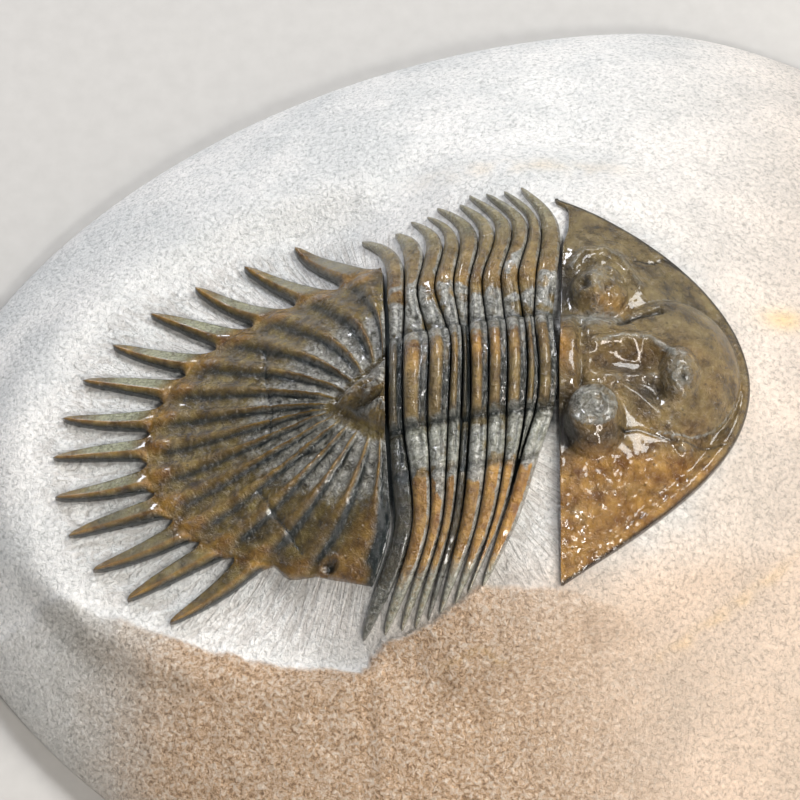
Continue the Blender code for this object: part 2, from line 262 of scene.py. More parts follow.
limestoneLook = {
    "preparedWhite": "E8E8E6",
    "preparedGrey": "BBBCBA",
    "preparedBright": "F7F6F3",
    "warmCream": "EBD6C4",
    "cloudWhite": "FFFDFA",
    "coolGrey": "D9DCDC",
    "crustTan": "DDB994",
    "crustLight": "F8E6D2",
    "crustDark": "9A7B5D",
    "greyCrustDark": "9B998F",
    "greyCrust": "DAD7CF",
    "greyCrustLight": "F6F4EE",
    "ironStain": "EBC37A",
    "scratchShade": "9F958B",
    # colour of the painted shade and dark cement between the segments
    "jointTeal": "20292B",
    "roughness": 0.82,
    "ior": 1.5,
    "cloudSize": 9.0,  # mm, faint clouds across the block
    "grainSize": 0.40,  # mm; the powder's real frosting is finer and would not show
    "crustGrain": 0.42,  # mm, weathered crystals of the unprepared face
    "scratchPitch": 0.55,  # mm between the needle marks round the spines
    "fanCentre": (-14.0, -1.0, 0.0),  # mm, where the needle marks fan out from
    "fanRadius": 22.0,  # mm from there to where the pitch is true
    "scratchShare": 0.40,  # how strongly the marks are coloured
    "frostDepth": 0.00032,  # bumps in metres, deeper than the real ones so that they show
    "crustDepth": 0.0009,
    "scratchDepth": 0.00045,
}


def airAbradedLimestone(look):
    # limestone blasted with fine powder round the fossil: matt, frosted and almost white,
    # with needle scratches near the shell and the old tan crust left on the near side
    noises = (
        ("cloud", look["cloudSize"], 3.0, 0.55, 0.0),
        ("grain", look["grainSize"], 4.0, 0.70, 0.5),
        ("crystals", look["crustGrain"], 4.0, 0.75, 0.4),
    )
    masks = ("crust", "greyed", "fresh", "warm", "stain", "joint")
    material, tree, inMm, mask, pattern = startMaterial("airAbradedLimestone", masks, noises)
    shader = tree.nodes["Principled BSDF"]
    multiply = {"operation": "MULTIPLY"}

    # polar coordinates about the tail, so that the needle marks fan out with the spines
    subtract = {"operation": "SUBTRACT"}
    away = addNode(tree, "VectorMath", subtract, vector=inMm, in1=look["fanCentre"])
    parts = addNode(tree, "SeparateXYZ", vector=away.outputs[0])
    flipped = addNode(tree, "Math", multiply, in0=parts.outputs[0], in1=-1.0)
    arc = {"in0": parts.outputs[1], "in1": flipped.outputs[0]}
    angle = addNode(tree, "Math", {"operation": "ARCTAN2"}, **arc)
    perRadian = look["fanRadius"] / look["scratchPitch"]
    turns = addNode(tree, "Math", multiply, in0=angle.outputs[0], in1=perRadian)
    reach = addNode(tree, "VectorMath", {"operation": "LENGTH"}, vector=away.outputs[0])
    along = addNode(tree, "Math", multiply, in0=reach.outputs["Value"], in1=0.7)
    fan = addNode(tree, "CombineXYZ", in0=turns.outputs[0], in1=along.outputs[0], in2=0.0)
    wavy = {"scale": 0.8, "detail": 3.0, "roughness": 0.6, "distortion": 1.3}
    marks = addNode(tree, "TexNoise", vector=fan.outputs[0], **wavy).outputs["Fac"]

    prepared = [(0.33, look["preparedGrey"]), (0.50, look["preparedWhite"]), (0.67, look["preparedBright"])]
    base = addNode(tree, "ValToRGB", stops=prepared, fac=pattern["grain"]).outputs[0]
    clouds = [(0.36, look["coolGrey"]), (0.62, look["cloudWhite"])]
    clouded = addNode(tree, "ValToRGB", stops=clouds, fac=pattern["cloud"])
    tanCrust = [(0.36, look["crustDark"]), (0.48, look["crustTan"]), (0.62, look["crustLight"])]
    tan = addNode(tree, "ValToRGB", stops=tanCrust, fac=pattern["crystals"])
    greyCrust = [(0.36, look["greyCrustDark"]), (0.50, look["greyCrust"]), (0.62, look["greyCrustLight"])]
    weathered = addNode(tree, "ValToRGB", stops=greyCrust, fac=pattern["crystals"])
    crusts = {"in0": mask["greyed"], "in6": tan.outputs[0], "in7": weathered.outputs[0]}
    old = addNode(tree, "Mix", {"data_type": "RGBA"}, **crusts)
    scored = addNode(tree, "MapRange", in0=marks, in1=0.40, in2=0.56, in3=1.0, in4=0.0)
    scoredHere = addNode(tree, "Math", multiply, in0=scored.outputs[0], in1=mask["fresh"])
    softly = addNode(tree, "Math", multiply, in0=scoredHere.outputs[0], in1=look["scratchShare"])
    speckled = addNode(tree, "Math", multiply, in0=mask["stain"], in1=pattern["grain"])
    for blend, share, colour in (
        ("MULTIPLY", 0.55, clouded.outputs[0]),
        ("MULTIPLY", mask["warm"], hexColour(look["warmCream"])),
        ("MIX", mask["crust"], old.outputs[2]),
        ("MIX", softly.outputs[0], hexColour(look["scratchShade"])),
        ("MIX", speckled.outputs[0], hexColour(look["ironStain"])),
        # painted shade and dark cement between the segments
        ("MIX", mask["joint"], hexColour(look["jointTeal"])),
    ):
        settings = {"data_type": "RGBA", "blend_type": blend}
        base = addNode(tree, "Mix", settings, in0=share, in6=base, in7=colour).outputs[2]

    frosting = addNode(tree, "Bump", in0=0.9, in1=look["frostDepth"], in3=pattern["grain"])
    crusty = addNode(tree, "Math", multiply, in0=pattern["crystals"], in1=mask["crust"])
    lumps = {"in1": look["crustDepth"], "in3": crusty.outputs[0], "in4": frosting.outputs[0]}
    crustBump = addNode(tree, "Bump", in0=0.9, **lumps)
    scoring = addNode(tree, "Math", multiply, in0=marks, in1=mask["fresh"])
    scratches = {"in1": look["scratchDepth"], "in3": scoring.outputs[0], "in4": crustBump.outputs[0]}
    scratched = addNode(tree, "Bump", in0=0.7, **scratches)
    tree.links.new(base, shader.inputs["Base Color"])
    tree.links.new(scratched.outputs[0], shader.inputs["Normal"])
    shader.inputs["Roughness"].default_value = look["roughness"]
    shader.inputs["IOR"].default_value = look["ior"]
    return material


shellLook = {
    "oliveDark": "352B1B",
    "oliveBrown": "6B5C3B",
    "oliveLight": "8C7C54",
    "amberDeep": "754A17",
    "amberLight": "BA8A3F",
    "patinaDark": "46463F",
    "patinaPale": "A6A79F",
    "bladeGreen": "B2B69A",
    "bladeGrey": "6C6E5A",
    # colours of the painted shade in hollows and of the dark lines
    "grooveBlack": "12191A",
    "grooveTeal": "2B3331",
    "pitBrown": "2A1C10",
    "roughness": 0.17,
    "filmRoughness": 0.22,
    "ior": 1.58,  # calcite lies between 1.49 and 1.66
    "coatWeight": 0.6,
    "coatRoughness": 0.08,
    "coatIor": 1.5,
    "warmth": 0.75,
    "mottleSize": 1.6,  # mm, clouds in the shell's brown
    "wrinkleSize": 0.65,  # mm, creases of the varnish over the grain
    "streakSize": 0.9,  # mm, smears of the old film
    "speckSize": 0.28,  # mm; the real grit is finer and would not show
    "pitSpacing": 1.1,  # mm between the pores
    "wrinkleDepth": 0.00080,  # bumps in metres, deeper than the real ones so that they show
    "speckDepth": 0.00028,
}


def varnishedShell(name, look):
    # calcite shell, stained brown by iron and brushed with a clear preserving varnish:
    # very glossy where clean, a little duller and grey where the old film is left
    noises = (
        ("mottle", look["mottleSize"], 5.0, 0.65, 0.0),
        ("speck", look["speckSize"], 3.0, 0.70, 0.0),
        ("wrinkle", look["wrinkleSize"], 4.0, 0.65, 0.6),
        ("streaks", look["streakSize"], 5.0, 0.75, 1.5),
    )
    masks = ("amber", "patina", "blade", "groove")
    material, tree, inMm, mask, pattern = startMaterial(name, masks, noises)
    shader = tree.nodes["Principled BSDF"]
    pore = {"vector": inMm, "scale": 1 / look["pitSpacing"]}
    pits = addNode(tree, "TexVoronoi", {"feature": "F1"}, **pore).outputs["Distance"]

    # each colour is a ramp over one of the patterns
    colour = {}
    for colourName, source, stops in (
        ("brown", "mottle", ((0.30, "oliveDark"), (0.50, "oliveBrown"), (0.72, "oliveLight"))),
        ("honey", "mottle", ((0.35, "amberDeep"), (0.68, "amberLight"))),
        ("film", "streaks", ((0.36, "patinaDark"), (0.64, "patinaPale"))),
        # pale green-grey, also a painted reflection on the spines' upper facets
        ("pale", "speck", ((0.34, "bladeGrey"), (0.62, "bladeGreen"))),
        # the painted shade and the dark lines take this colour
        ("depth", "speck", ((0.42, "grooveBlack"), (0.70, "grooveTeal"))),
    ):
        stops = [(at, look[code]) for at, code in stops]
        colour[colourName] = addNode(tree, "ValToRGB", stops=stops, fac=pattern[source]).outputs[0]

    clamped = {"operation": "MULTIPLY", "use_clamp": True}
    warmed = addNode(tree, "Math", clamped, in0=mask["amber"], in1=look["warmth"])
    # the film breaks up into specks at its edges
    both = {"in0": mask["patina"], "in1": pattern["wrinkle"]}
    broken = addNode(tree, "Math", {"operation": "ADD"}, **both)
    breaks = {"in1": 0.72, "in2": 1.15, "in3": 0.0, "in4": 0.9}
    filmHere = addNode(tree, "MapRange", in0=broken.outputs[0], **breaks)
    pitHere = addNode(tree, "MapRange", in0=pits, in1=0.08, in2=0.16, in3=0.55, in4=0.0)
    base = colour["brown"]
    for share, over in (
        (warmed.outputs[0], colour["honey"]),
        (filmHere.outputs[0], colour["film"]),
        (mask["blade"], colour["pale"]),
        (mask["groove"], colour["depth"]),
        (pitHere.outputs[0], hexColour(look["pitBrown"])),
    ):
        layers = {"in0": share, "in6": base, "in7": over}
        base = addNode(tree, "Mix", {"data_type": "RGBA"}, **layers).outputs[2]

    most = {"operation": "MAXIMUM"}
    dull = addNode(tree, "Math", most, in0=filmHere.outputs[0], in1=mask["blade"])
    gloss = {"in1": 0.0, "in2": 1.0, "in3": look["roughness"], "in4": look["filmRoughness"]}
    sheen = addNode(tree, "MapRange", in0=dull.outputs[0], **gloss)
    creases = {"in0": look["crackle"], "in1": look["wrinkleDepth"], "in3": pattern["wrinkle"]}
    folds = addNode(tree, "Bump", **creases)
    grit = addNode(tree, "Math", {"operation": "MULTIPLY"}, in0=pattern["speck"], in1=0.25)
    specks = {"in1": look["speckDepth"], "in3": grit.outputs[0], "in4": folds.outputs[0]}
    fine = addNode(tree, "Bump", in0=0.9, **specks)
    tree.links.new(base, shader.inputs["Base Color"])
    tree.links.new(sheen.outputs[0], shader.inputs["Roughness"])
    tree.links.new(fine.outputs[0], shader.inputs["Normal"])
    shader.inputs["IOR"].default_value = look["ior"]
    shader.inputs["Coat Weight"].default_value = look["coatWeight"]
    shader.inputs["Coat Roughness"].default_value = look["coatRoughness"]
    shader.inputs["Coat IOR"].default_value = look["coatIor"]
    return material


limestone = airAbradedLimestone(limestoneLook)
# crackle is how strongly the varnish is wrinkled: most on the head, least on the tail
# the head's painted shade is browner
headLook = dict(shellLook, crackle=0.85, grooveBlack="16130F", grooveTeal="2F2A21")
thoraxLook = dict(shellLook, crackle=0.65, amberDeep="83521A", amberLight="D39E48")
thoraxLook.update(patinaDark="42433D", patinaPale="B6B7B0")
# the tail's brown is deeper, and its amber darker
tailLook = dict(shellLook, crackle=0.50, oliveDark="2C2414", oliveBrown="5A4C29", oliveLight="80713F")
tailLook.update(patinaDark="2B2B26", patinaPale="AFAEA5", amberDeep="684415", amberLight="A57B33")
headShell = varnishedShell("varnishedHeadShell", headLook)
thoraxShell = varnishedShell("varnishedThoraxShell", thoraxLook)
tailShell = varnishedShell("varnishedTailShell", tailLook)
print("materials ready")


# limestone block

stone = {
    "widestX": 11.9,
    "tailLength": 70.8,
    "headLength": 47.0,
    "halfWidth": 50.2,
    "squareness": 1.8,
    "rimZ": 2.2,
    "dome": 24.0,
    "domePower": 0.75,
    "headFall": 0.09,
    "headFallX": -6.0,
    "headFallSoftness": 4.0,
    "centre": (-12.0, -1.0),
    "angles": 460,
    "rings": 150,
    "edge": ((0.998, 1.2), (0.990, 0.4), (0.975, 0.0)),  # size and height of the rounded foot
    "basins": ((-22.0, 24.5, 21.0), (-6.0, 15.0, 22.3), (4.0, 15.0, 19.0)),
    "bank": 7.0,
    "ledgeT": (-8.0, -16.0),
    "sinkHead": 0.55,  # how far the stone lies below the shell's own surface
    "sinkTail": 0.75,
    # near edge of the prepared ground, where the old crust begins, as x and t
    "crustLine": (
        (-56.0, -17.0), (-43.9, -13.3), (-38.2, -16.3), (-32.7, -18.6), (-26.2, -21.0), (-20.8, -22.2),
        (-15.9, -23.5), (-15.1, -21.8), (-12.3, -20.9), (-9.2, -20.3), (-5.7, -18.5), (-2.2, -18.9),
        (1.3, -19.2), (6.6, -21.0), (14.0, -24.0), (22.0, -27.0),
    ),
    "crustStep": 0.45,
    "ochreVein": ((26.0, -13.0), (18.5, -18.5), (10.0, -24.5)),
    "rustVein": ((-9.0, -24.2), (-5.5, -23.6), (-3.5, -24.6)),
    "crease": ((-15.2, -21.6), (-15.4, -26.0), (-15.1, -31.5), (-15.6, -38.0)),
    "creaseX": -15.3,
    "creaseDepth": 0.35,
    "creaseStep": 0.18,
    "crustLumps": 0.22,
    "broadLumps": 0.16,
    "fineLumps": 0.05,
    "ochreSpot": (22.5, 7.6, 1.8, 1.0),
    "firstBlade": ((-12.3, -2.6), (-7.5, -1.0), (-4.5, 1.2)),  # t and x of the first blade's front edge
}


def domeHeight(x, y):
    length = np.where(x > stone["widestX"], stone["headLength"], stone["tailLength"])
    away = np.abs((x - stone["widestX"]) / length) ** stone["squareness"]
    away += np.abs(y / stone["halfWidth"]) ** stone["squareness"]
    inside = np.clip(1.0 - away, 0.0, 1.0)
    soft = stone["headFallSoftness"]
    fall = stone["headFall"] * soft * np.log1p(np.exp((x - stone["headFallX"]) / soft))
    return stone["rimZ"] + stone["dome"] * inside ** stone["domePower"] - fall * np.sqrt(inside)


def outsideBasin(x, t):
    least = np.full(np.shape(x), farAway)
    for centre, length, width in stone["basins"]:
        away = np.hypot((x - centre) / length, t / width) - 1.0
        least = np.minimum(least, away * min(length, width))
    return least


def buildStone():
    angle = np.arange(stone["angles"]) * tau / stone["angles"]
    power = 2.0 / stone["squareness"]
    length = np.where(np.cos(angle) > 0, stone["headLength"], stone["tailLength"])
    outX = stone["widestX"] + length * np.abs(np.cos(angle)) ** power * np.sign(np.cos(angle))
    outY = stone["halfWidth"] * np.abs(np.sin(angle)) ** power * np.sign(np.sin(angle))
    share = (np.arange(1, stone["rings"] + 1) / stone["rings"])[:, None]
    x = np.append(stone["centre"][0], mix(stone["centre"][0], outX[None, :], share).ravel())
    y = np.append(stone["centre"][1], mix(stone["centre"][1], outY[None, :], share).ravel())
    inward = np.append(0.0, np.repeat(share.ravel(), stone["angles"]))
    t = y - midline(x)

    away = outsideBasin(x, t)
    near = ease(stone["ledgeT"][0], stone["ledgeT"][1], t)
    bank = mix(ease(0.0, stone["bank"], away), ease(1.5, 4.0, away), near)
    sink = mix(stone["sinkHead"], stone["sinkTail"], ease(-17.0, -24.0, x))
    z = mix(bedHeight(x, t) - sink, domeHeight(x, y), bank)

    wander = uneven(x, t, 2.4, 3.0)
    lineX, lineT = zip(*stone["crustLine"])
    edgeT = np.interp(x, lineX, lineT) + 0.5 * wander
    crust = ease(-0.35, 0.35, edgeT - t) * (1.0 - ease(0.93, 1.0, inward) * 0.3)
    crust *= (1.0 - 0.92 * ease(-11.0, 12.0, x + 0.25 * (t + 20.0) + 1.5 * wander))
    crust *= (1.0 - 0.65 * ease(-33.0, -50.0, x + 2.0 * wander))
    fresh = (1.0 - ease(-2.2, 1.2, away + 0.9 * wander + 1.2 * ease(0.0, 6.0, x))) * (1.0 - crust)
    settle = 1.0 - ease(0.9, 1.0, inward)
    step = stone["crustStep"] * hill((edgeT - t) / 3.5)
    z += settle * crust * (step + stone["crustLumps"] * uneven(x, t, 1.7, 8.0, 3))
    lumps = stone["broadLumps"] * uneven(x, t, 7.0, 1.0, 3) + stone["fineLumps"] * uneven(x, t, 1.1, 5.0)
    z += settle * lumps
    crease = distanceToLine(x, t, stone["crease"])
    z -= settle * crust * stone["creaseDepth"] * hill(crease / 0.45) * (1.0 - ease(-29.0, -36.0, t))
    pastCrease = x - stone["creaseX"]
    z += settle * crust * stone["creaseStep"] * ease(-0.4, 0.4, pastCrease) * hill(pastCrease / 6.0)

    warm = ease(-12.0, 40.0, x - 0.35 * y) * (1.0 - 0.7 * fresh)
    warm += 0.6 * ease(-13.0, -22.0, t) * ease(-25.0, 0.0, x)
    stain = 1.1 * hill(ovalAway(x, t, stone["ochreSpot"]) * 0.9)
    streak = hill((t - 25.0 + 0.05 * (x + 6.0)) / 1.3) * between(-10.0, 8.0, 4.0, x)
    wavyT = t + 0.6 * wander
    vein = 0.45 * hill(distanceToLine(x, wavyT, stone["ochreVein"]) / 0.5) * (0.6 + wander)
    vein += 0.5 * hill(distanceToLine(x, wavyT, stone["rustVein"]) / 0.3)
    stain += 0.35 * streak * (0.5 + wander) + vein

    # painted shade and dark cement between the segments, and painted shadow behind the last one on the near
    # side
    points = np.stack([x, y, z], axis=1)
    bladeT, bladeX = zip(*stone["firstBlade"])
    pastBlade = x - np.interp(t, bladeT, bladeX)
    joint = ease(-15.1, -14.1, x) * (1.0 - ease(-0.5, 0.4, pastBlade))
    joint *= (1.0 - ease(10.5, 14.0, np.abs(t - axis["centreT"])))
    behind = between(-14.9, -12.6, 0.4, x + 0.018 * t * t) * (t < 0) * ease(-15.5, -13.0, t)
    joint = np.maximum(joint, behind)
    greyed = ease(-28.0, -46.0, x - 0.3 * (t + 20.0) + 1.5 * wander)
    masks = {"crust": crust, "greyed": greyed, "fresh": fresh, "warm": warm, "stain": stain, "joint": joint}

    # the rounded foot repeats the last ring's masks
    foot = []
    for size, height in stone["edge"]:
        footX = mix(stone["centre"][0], outX, size)
        foot.append(np.stack([footX, outY * size, np.full(stone["angles"], height)], axis=1))
    points = np.concatenate([points] + foot)
    n = stone["angles"]
    for key, values in masks.items():
        masks[key] = np.append(values, np.tile(values[-n:], len(stone["edge"])))

    faces = [[0, 1 + k, 1 + (k + 1) % n] for k in range(n)]
    for ring in range(stone["rings"] - 1 + len(stone["edge"])):
        start = 1 + ring * n
        for k in range(n):
            following = (k + 1) % n
            faces.append([start + k, start + n + k, start + n + following, start + following])
    base = 1 + (stone["rings"] - 1 + len(stone["edge"])) * n
    faces.append([base + k for k in reversed(range(n))])
    return makePiece("limestoneBlock", points, faces, masks, limestone, "matrix")


buildStone()


# head shield

head = {
    "frontX": 18.8,
    "halfWidth": 19.05,
    "marginCurve": 0.0475,
    "rearX": 1.35,
    "rearFarSkew": 0.055,
    "columns": 270,
    "rows": 118,
    "cheekRise": 0.8,
    "rimWidth": 1.3,
    "lobe": (11.9, 0.5, 5.95, 6.9),
    "lobeRise": 2.55,
    "stemT": 1.4,
    "stemHalf": 3.5,
    "boss": (12.1, -0.9, 1.9, 2.6),
    "bossRise": 1.3,
    "bossPit": (12.4, -1.7, 0.42, 0.38),
    "crest": ((4.6, 1.7), (7.0, 2.3), (9.4, 2.3), (10.9, 1.3), (11.4, 0.6)),
    "nearRidge": ((5.4, -1.3), (7.6, -0.9), (9.6, -0.9)),
    "hollowLong": (7.2, 0.3, 3.3, 1.15),
    "hollowNear": (9.3, -2.4, 1.7, 1.6),
    "slit": ((6.9, 4.1), (8.2, 4.9), (9.6, 5.2), (10.6, 5.5)),
    "nearEye": (4.4, -5.1, 2.8, 3.6),
    "nearDisc": (4.3, -4.5, 2.2, 2.15),
    "farEye": (5.2, 7.7, 2.8, 3.0),
    "farDisc": (3.9, 7.5, 0.95, 0.85),
    "eyeRise": 3.0,
    "farBrow": ((2.7, 10.4), (3.8, 12.0), (5.7, 12.4), (7.2, 11.6), (8.1, 9.9), (8.9, 8.3)),
    "nearBrow": ((6.8, -1.9), (8.3, -2.9), (9.8, -4.2), (11.3, -5.7), (12.7, -7.2)),
    "farSuture": ((8.6, 11.5), (10.4, 11.5), (11.3, 12.1), (14.0, 10.3)),
    "nearSuture": ((6.6, -6.2), (8.3, -5.9), (11.2, -6.7), (13.8, -6.9), (16.3, -6.3)),
    "neckFurrowX": 3.35,
    # hollows, lumps, and patches of colour, of painted shade and of painted highlight, as middle x and t
    # and radii x and t
    "farRearPit": (2.1, 8.3, 0.9, 3.2),
    "nearRearPit": (1.9, -6.0, 0.9, 2.8),
    "farRearShade": (1.8, 8.0, 1.1, 3.2),
    "nearRearShade": (1.6, -5.6, 1.0, 3.2),
    "crumpled": (6.5, 10.5, 3.5, 3.0),
    "crackled": (6.3, 6.2, 2.2, 2.2),
    "farFilm": (5.0, 4.4, 3.8, 1.1),
    "bossFilm": (11.9, -1.0, 1.5, 2.2),
    "farEyeFilm": (4.9, 8.6, 2.2, 2.4),
    "neckAmber": (1.6, 1.2, 0.9, 2.0),
    "farAmber": (6.0, 5.7, 2.0, 1.4),
    # heights and depths in mm
    "crestRise": 0.50,
    "ridgeRise": 0.22,
    "longDepth": 1.6,
    "nearDepth": 1.7,
    "slitDepth": 0.7,
    "neckFurrowDepth": 0.5,
    "pitDepth": 0.45,
    "sutureDepth": (0.16, 0.14),
    "rimRise": (0.10, 0.38),  # round the whole edge, and more on the near front
    "rimDip": 0.22,
}


def axisRelief(t):
    # raised middle lobe, with a furrow on each side of it and a low swell beyond
    off = t - axis["centreT"]
    inside = np.clip(1.0 - (off / axis["halfWidth"]) ** 2, 0.0, 1.0)
    swell = axis["pleuraSwell"] * hill((np.abs(off) - 9.0) / 3.0)
    furrow = axis["furrowDepth"] * hill((np.abs(off) - axis["halfWidth"] - 0.4) / 0.5)
    return swell - furrow + axis["rise"] * np.sqrt(inside)


def buildHead():
    column = np.arange(head["columns"] + 1) / head["columns"]
    bunched = -head["halfWidth"] * np.cos(pi * column)
    even = head["halfWidth"] * (2 * column - 1)
    t = np.tile(mix(bunched, even, 0.7), (head["rows"] + 1, 1))
    share = (np.arange(head["rows"] + 1) / head["rows"])[:, None]
    rear = head["rearX"] + head["rearFarSkew"] * np.maximum(0.0, t)
    rear += 0.5 * between(14.0, 18.2, 1.4, t) - 0.9 * ease(17.8, 19.0, t)
    margin = head["frontX"] - head["marginCurve"] * t * t
    x = mix(rear, np.maximum(margin, rear + 0.3), share)
    toEdge = (margin - x) / np.sqrt(1.0 + (2 * head["marginCurve"] * t) ** 2)

    # glabella: a broad front lobe, a narrow stem behind it and the neck ring
    lobe = mound(x, t, head["lobe"], head["lobeRise"], 0.42)
    narrow = head["stemHalf"] + 0.5 * ease(8.0, 4.0, x)
    neck = np.clip(1.0 - ((t - head["stemT"]) / narrow) ** 2, 0.0, 1.0)
    stem = axis["rise"] * np.sqrt(neck) * (1.0 - ease(8.0, 13.0, x))
    ringShape = np.clip(1.0 - ((t - axis["centreT"]) / axis["halfWidth"]) ** 2, 0.0, 1.0)
    ring = (axis["rise"] + 0.45) * np.sqrt(ringShape) * (1.0 - ease(2.7, 3.7, x))
    middle = np.maximum(np.maximum(lobe, stem), ring)
    crest = distanceToLine(x, t, head["crest"])
    nearRidge = distanceToLine(x, t, head["nearRidge"])
    hollowLong = patch(x, t, head["hollowLong"])
    hollowNear = patch(x, t, head["hollowNear"])
    slit = distanceToLine(x, t, head["slit"])
    middle += head["crestRise"] * hill(crest / 0.60) + head["ridgeRise"] * hill(nearRidge / 0.4)
    middle = middle - head["longDepth"] * hollowLong - head["nearDepth"] * hollowNear
    middle -= head["slitDepth"] * hill(slit / 0.32)
    pastNeck = x - head["neckFurrowX"]
    middle -= head["neckFurrowDepth"] * hill(pastNeck / 0.4) * ease(0.2, 0.6, ringShape)
    boss = mound(x, t, head["boss"], head["bossRise"], 0.7)
    bossPit = patch(x, t, head["bossPit"])
    middle += boss * (1.0 + 0.25 * uneven(x, t, 0.7, 21.0)) - head["pitDepth"] * bossPit

    # eyes: steep mounds with a flat lid and a rim round it
    nearMound = mound(x, t, head["nearEye"], head["eyeRise"] + 0.25, 0.45)
    lid = ovalAway(x, t, head["nearDisc"])
    nearMound = np.minimum(nearMound, head["eyeRise"] - 0.05 + 0.10 * lid + 3.0 * ease(0.9, 1.6, lid))
    lidRims = 0.20 * hill((lid - 0.95) / 0.13) + 0.14 * hill((lid - 0.55) / 0.12)
    nearMound += lidRims * (nearMound > 0)
    crumple = uneven(x, t, 1.3, 91.0, 3)
    lidDents = 0.22 * crumple - 0.25 * hill((lid - 0.35) / 0.2)
    nearMound += lidDents * (nearMound > 0) * ease(1.5, 0.8, lid)
    farMound = mound(x, t, head["farEye"], head["eyeRise"], 0.55)
    farLid = ovalAway(x, t, head["farDisc"])
    farDents = 0.14 * hill((farLid - 0.9) / 0.25) - 0.30 * hill(farLid / 0.45)
    farMound += farDents * (farMound > 0)
    farMound += 0.55 * crumple * ease(0.2, 1.2, farMound)
    farBrow = distanceToLine(x, t, head["farBrow"])
    nearBrow = distanceToLine(x, t, head["nearBrow"])
    farSuture = distanceToLine(x, t, head["farSuture"])
    nearSuture = distanceToLine(x, t, head["nearSuture"])
    cheek = head["cheekRise"] * ease(0.4, 6.0, toEdge)
    cheek += 0.40 * hill(farBrow / 0.35) + 0.25 * hill(farBrow / 1.4) + 0.75 * hill(nearBrow / 0.75)
    for pit in (head["farRearPit"], head["nearRearPit"]):
        cheek -= head["pitDepth"] * hill(ovalAway(x, t, pit))
    cheek += 0.22 * crumple * patch(x, t, head["crumpled"])
    relief = np.maximum(np.maximum(middle, cheek), np.maximum(nearMound, farMound))
    for suture, depth in zip((farSuture, nearSuture), head["sutureDepth"]):
        relief -= depth * hill(suture / 0.16)

    # raised rim, heavier on the near front side
    frontNear = ease(4.0, -4.0, t) * ease(4.0, 9.0, x)
    rimHeight = head["rimRise"][0] + head["rimRise"][1] * frontNear
    rim = rimHeight * hill((toEdge - 0.6) / (0.5 * head["rimWidth"]))
    dip = head["rimDip"] * hill((toEdge - 1.9) / 0.6) * frontNear
    lift = relief * ease(0.0, 1.5, toEdge + 0.4) + rim - dip
    nearCheek = ease(-7.0, -9.5, t)
    crackled = nearCheek + patch(x, t, head["crackled"]) + patch(x, t, head["boss"])
    lift += 0.10 * np.clip(crackled, 0.0, 1.0) * uneven(x, t, 0.7, 31.0, 3)
    lift += (0.05 + 0.07 * nearCheek) * uneven(x, t, 1.8, 12.0, 3)

    # grey film on the high places and the eye lids, with a painted highlight on the boss and, partly, along
    # the crest and on the far eye
    blotch = 0.5 + 0.5 * uneven(x, t, 2.0, 17.0, 3)
    outline = np.abs(lobe - 0.45)
    patina = 0.75 * (lid < 1.0) * (1.0 - 0.3 * lid) * (0.5 + blotch)
    patina += 0.25 * hill((nearBrow - 0.5) / 0.2) + 0.35 * hill(farBrow / 0.3)
    patina += 0.65 * patch(x, t, head["farFilm"])
    patina += 0.50 * hill(crest / 0.3) + 0.30 * hill(nearRidge / 0.35)
    patina += 0.90 * patch(x, t, head["bossFilm"]) * (0.4 + 0.6 * blotch)
    patina += 0.6 * patch(x, t, head["farEyeFilm"]) * blotch
    patina += 0.6 * hill(outline / 0.30) * ease(8.0, 10.0, x) * (toEdge > 1.2)

    # painted shade in the furrows, hollows and pits, under the near eye's lid and along the edge, and the
    # sutures as dark lines
    beyondLobe = ease(0.5, 0.1, lobe) * ease(8.5, 11.0, x) * ease(-8.0, -5.0, t)
    beyondLobe *= ease(4.2, 3.0, toEdge) * ease(0.9, 1.6, toEdge)
    groove = 0.9 * hill(slit / 0.22) + 0.8 * hill(farSuture / 0.12) + 0.65 * hill(nearSuture / 0.12)
    groove += patch(x, t, head["farRearShade"])
    groove += patch(x, t, head["nearRearShade"])
    groove += 0.75 * hill((lid - 1.38) / 0.32) * ease(-4.5, -6.5, t) * (0.7 + 0.5 * blotch)
    groove += 0.9 * bossPit + 0.85 * hollowNear + 0.55 * hollowLong
    groove += 0.35 * hollowLong * ease(0.9, -0.4, t) + 0.4 * beyondLobe * (0.3 + blotch)
    groove += 0.8 * hill(pastNeck / 0.25) * ease(0.3, 0.7, ringShape) * ease(1.5, -2.0, t)
    groove += 0.85 * ease(0.35, 0.05, toEdge) + 0.5 * hill(farLid / 0.4)

    # amber on the near cheek
    amber = 0.72 * nearCheek * (0.35 + 1.0 * blotch) + 0.9 * patch(x, t, head["neckAmber"])
    amber += 0.35 * hollowLong + 0.6 * patch(x, t, head["farAmber"])
    amber += 0.25 * ease(-4.0, -8.0, t) + 0.30 * ease(6.0, 0.0, t) * blotch
    masks = {"patina": patina, "groove": groove, "amber": amber, "blade": np.zeros(np.shape(x))}
    faces = gridFaces(head["rows"] + 1, head["columns"] + 1)
    return closePlate("headShield", x, t, lift, faces, masks, headShell, "cephalon")


buildHead()


# thorax: ten rings, each with a long blade on both sides

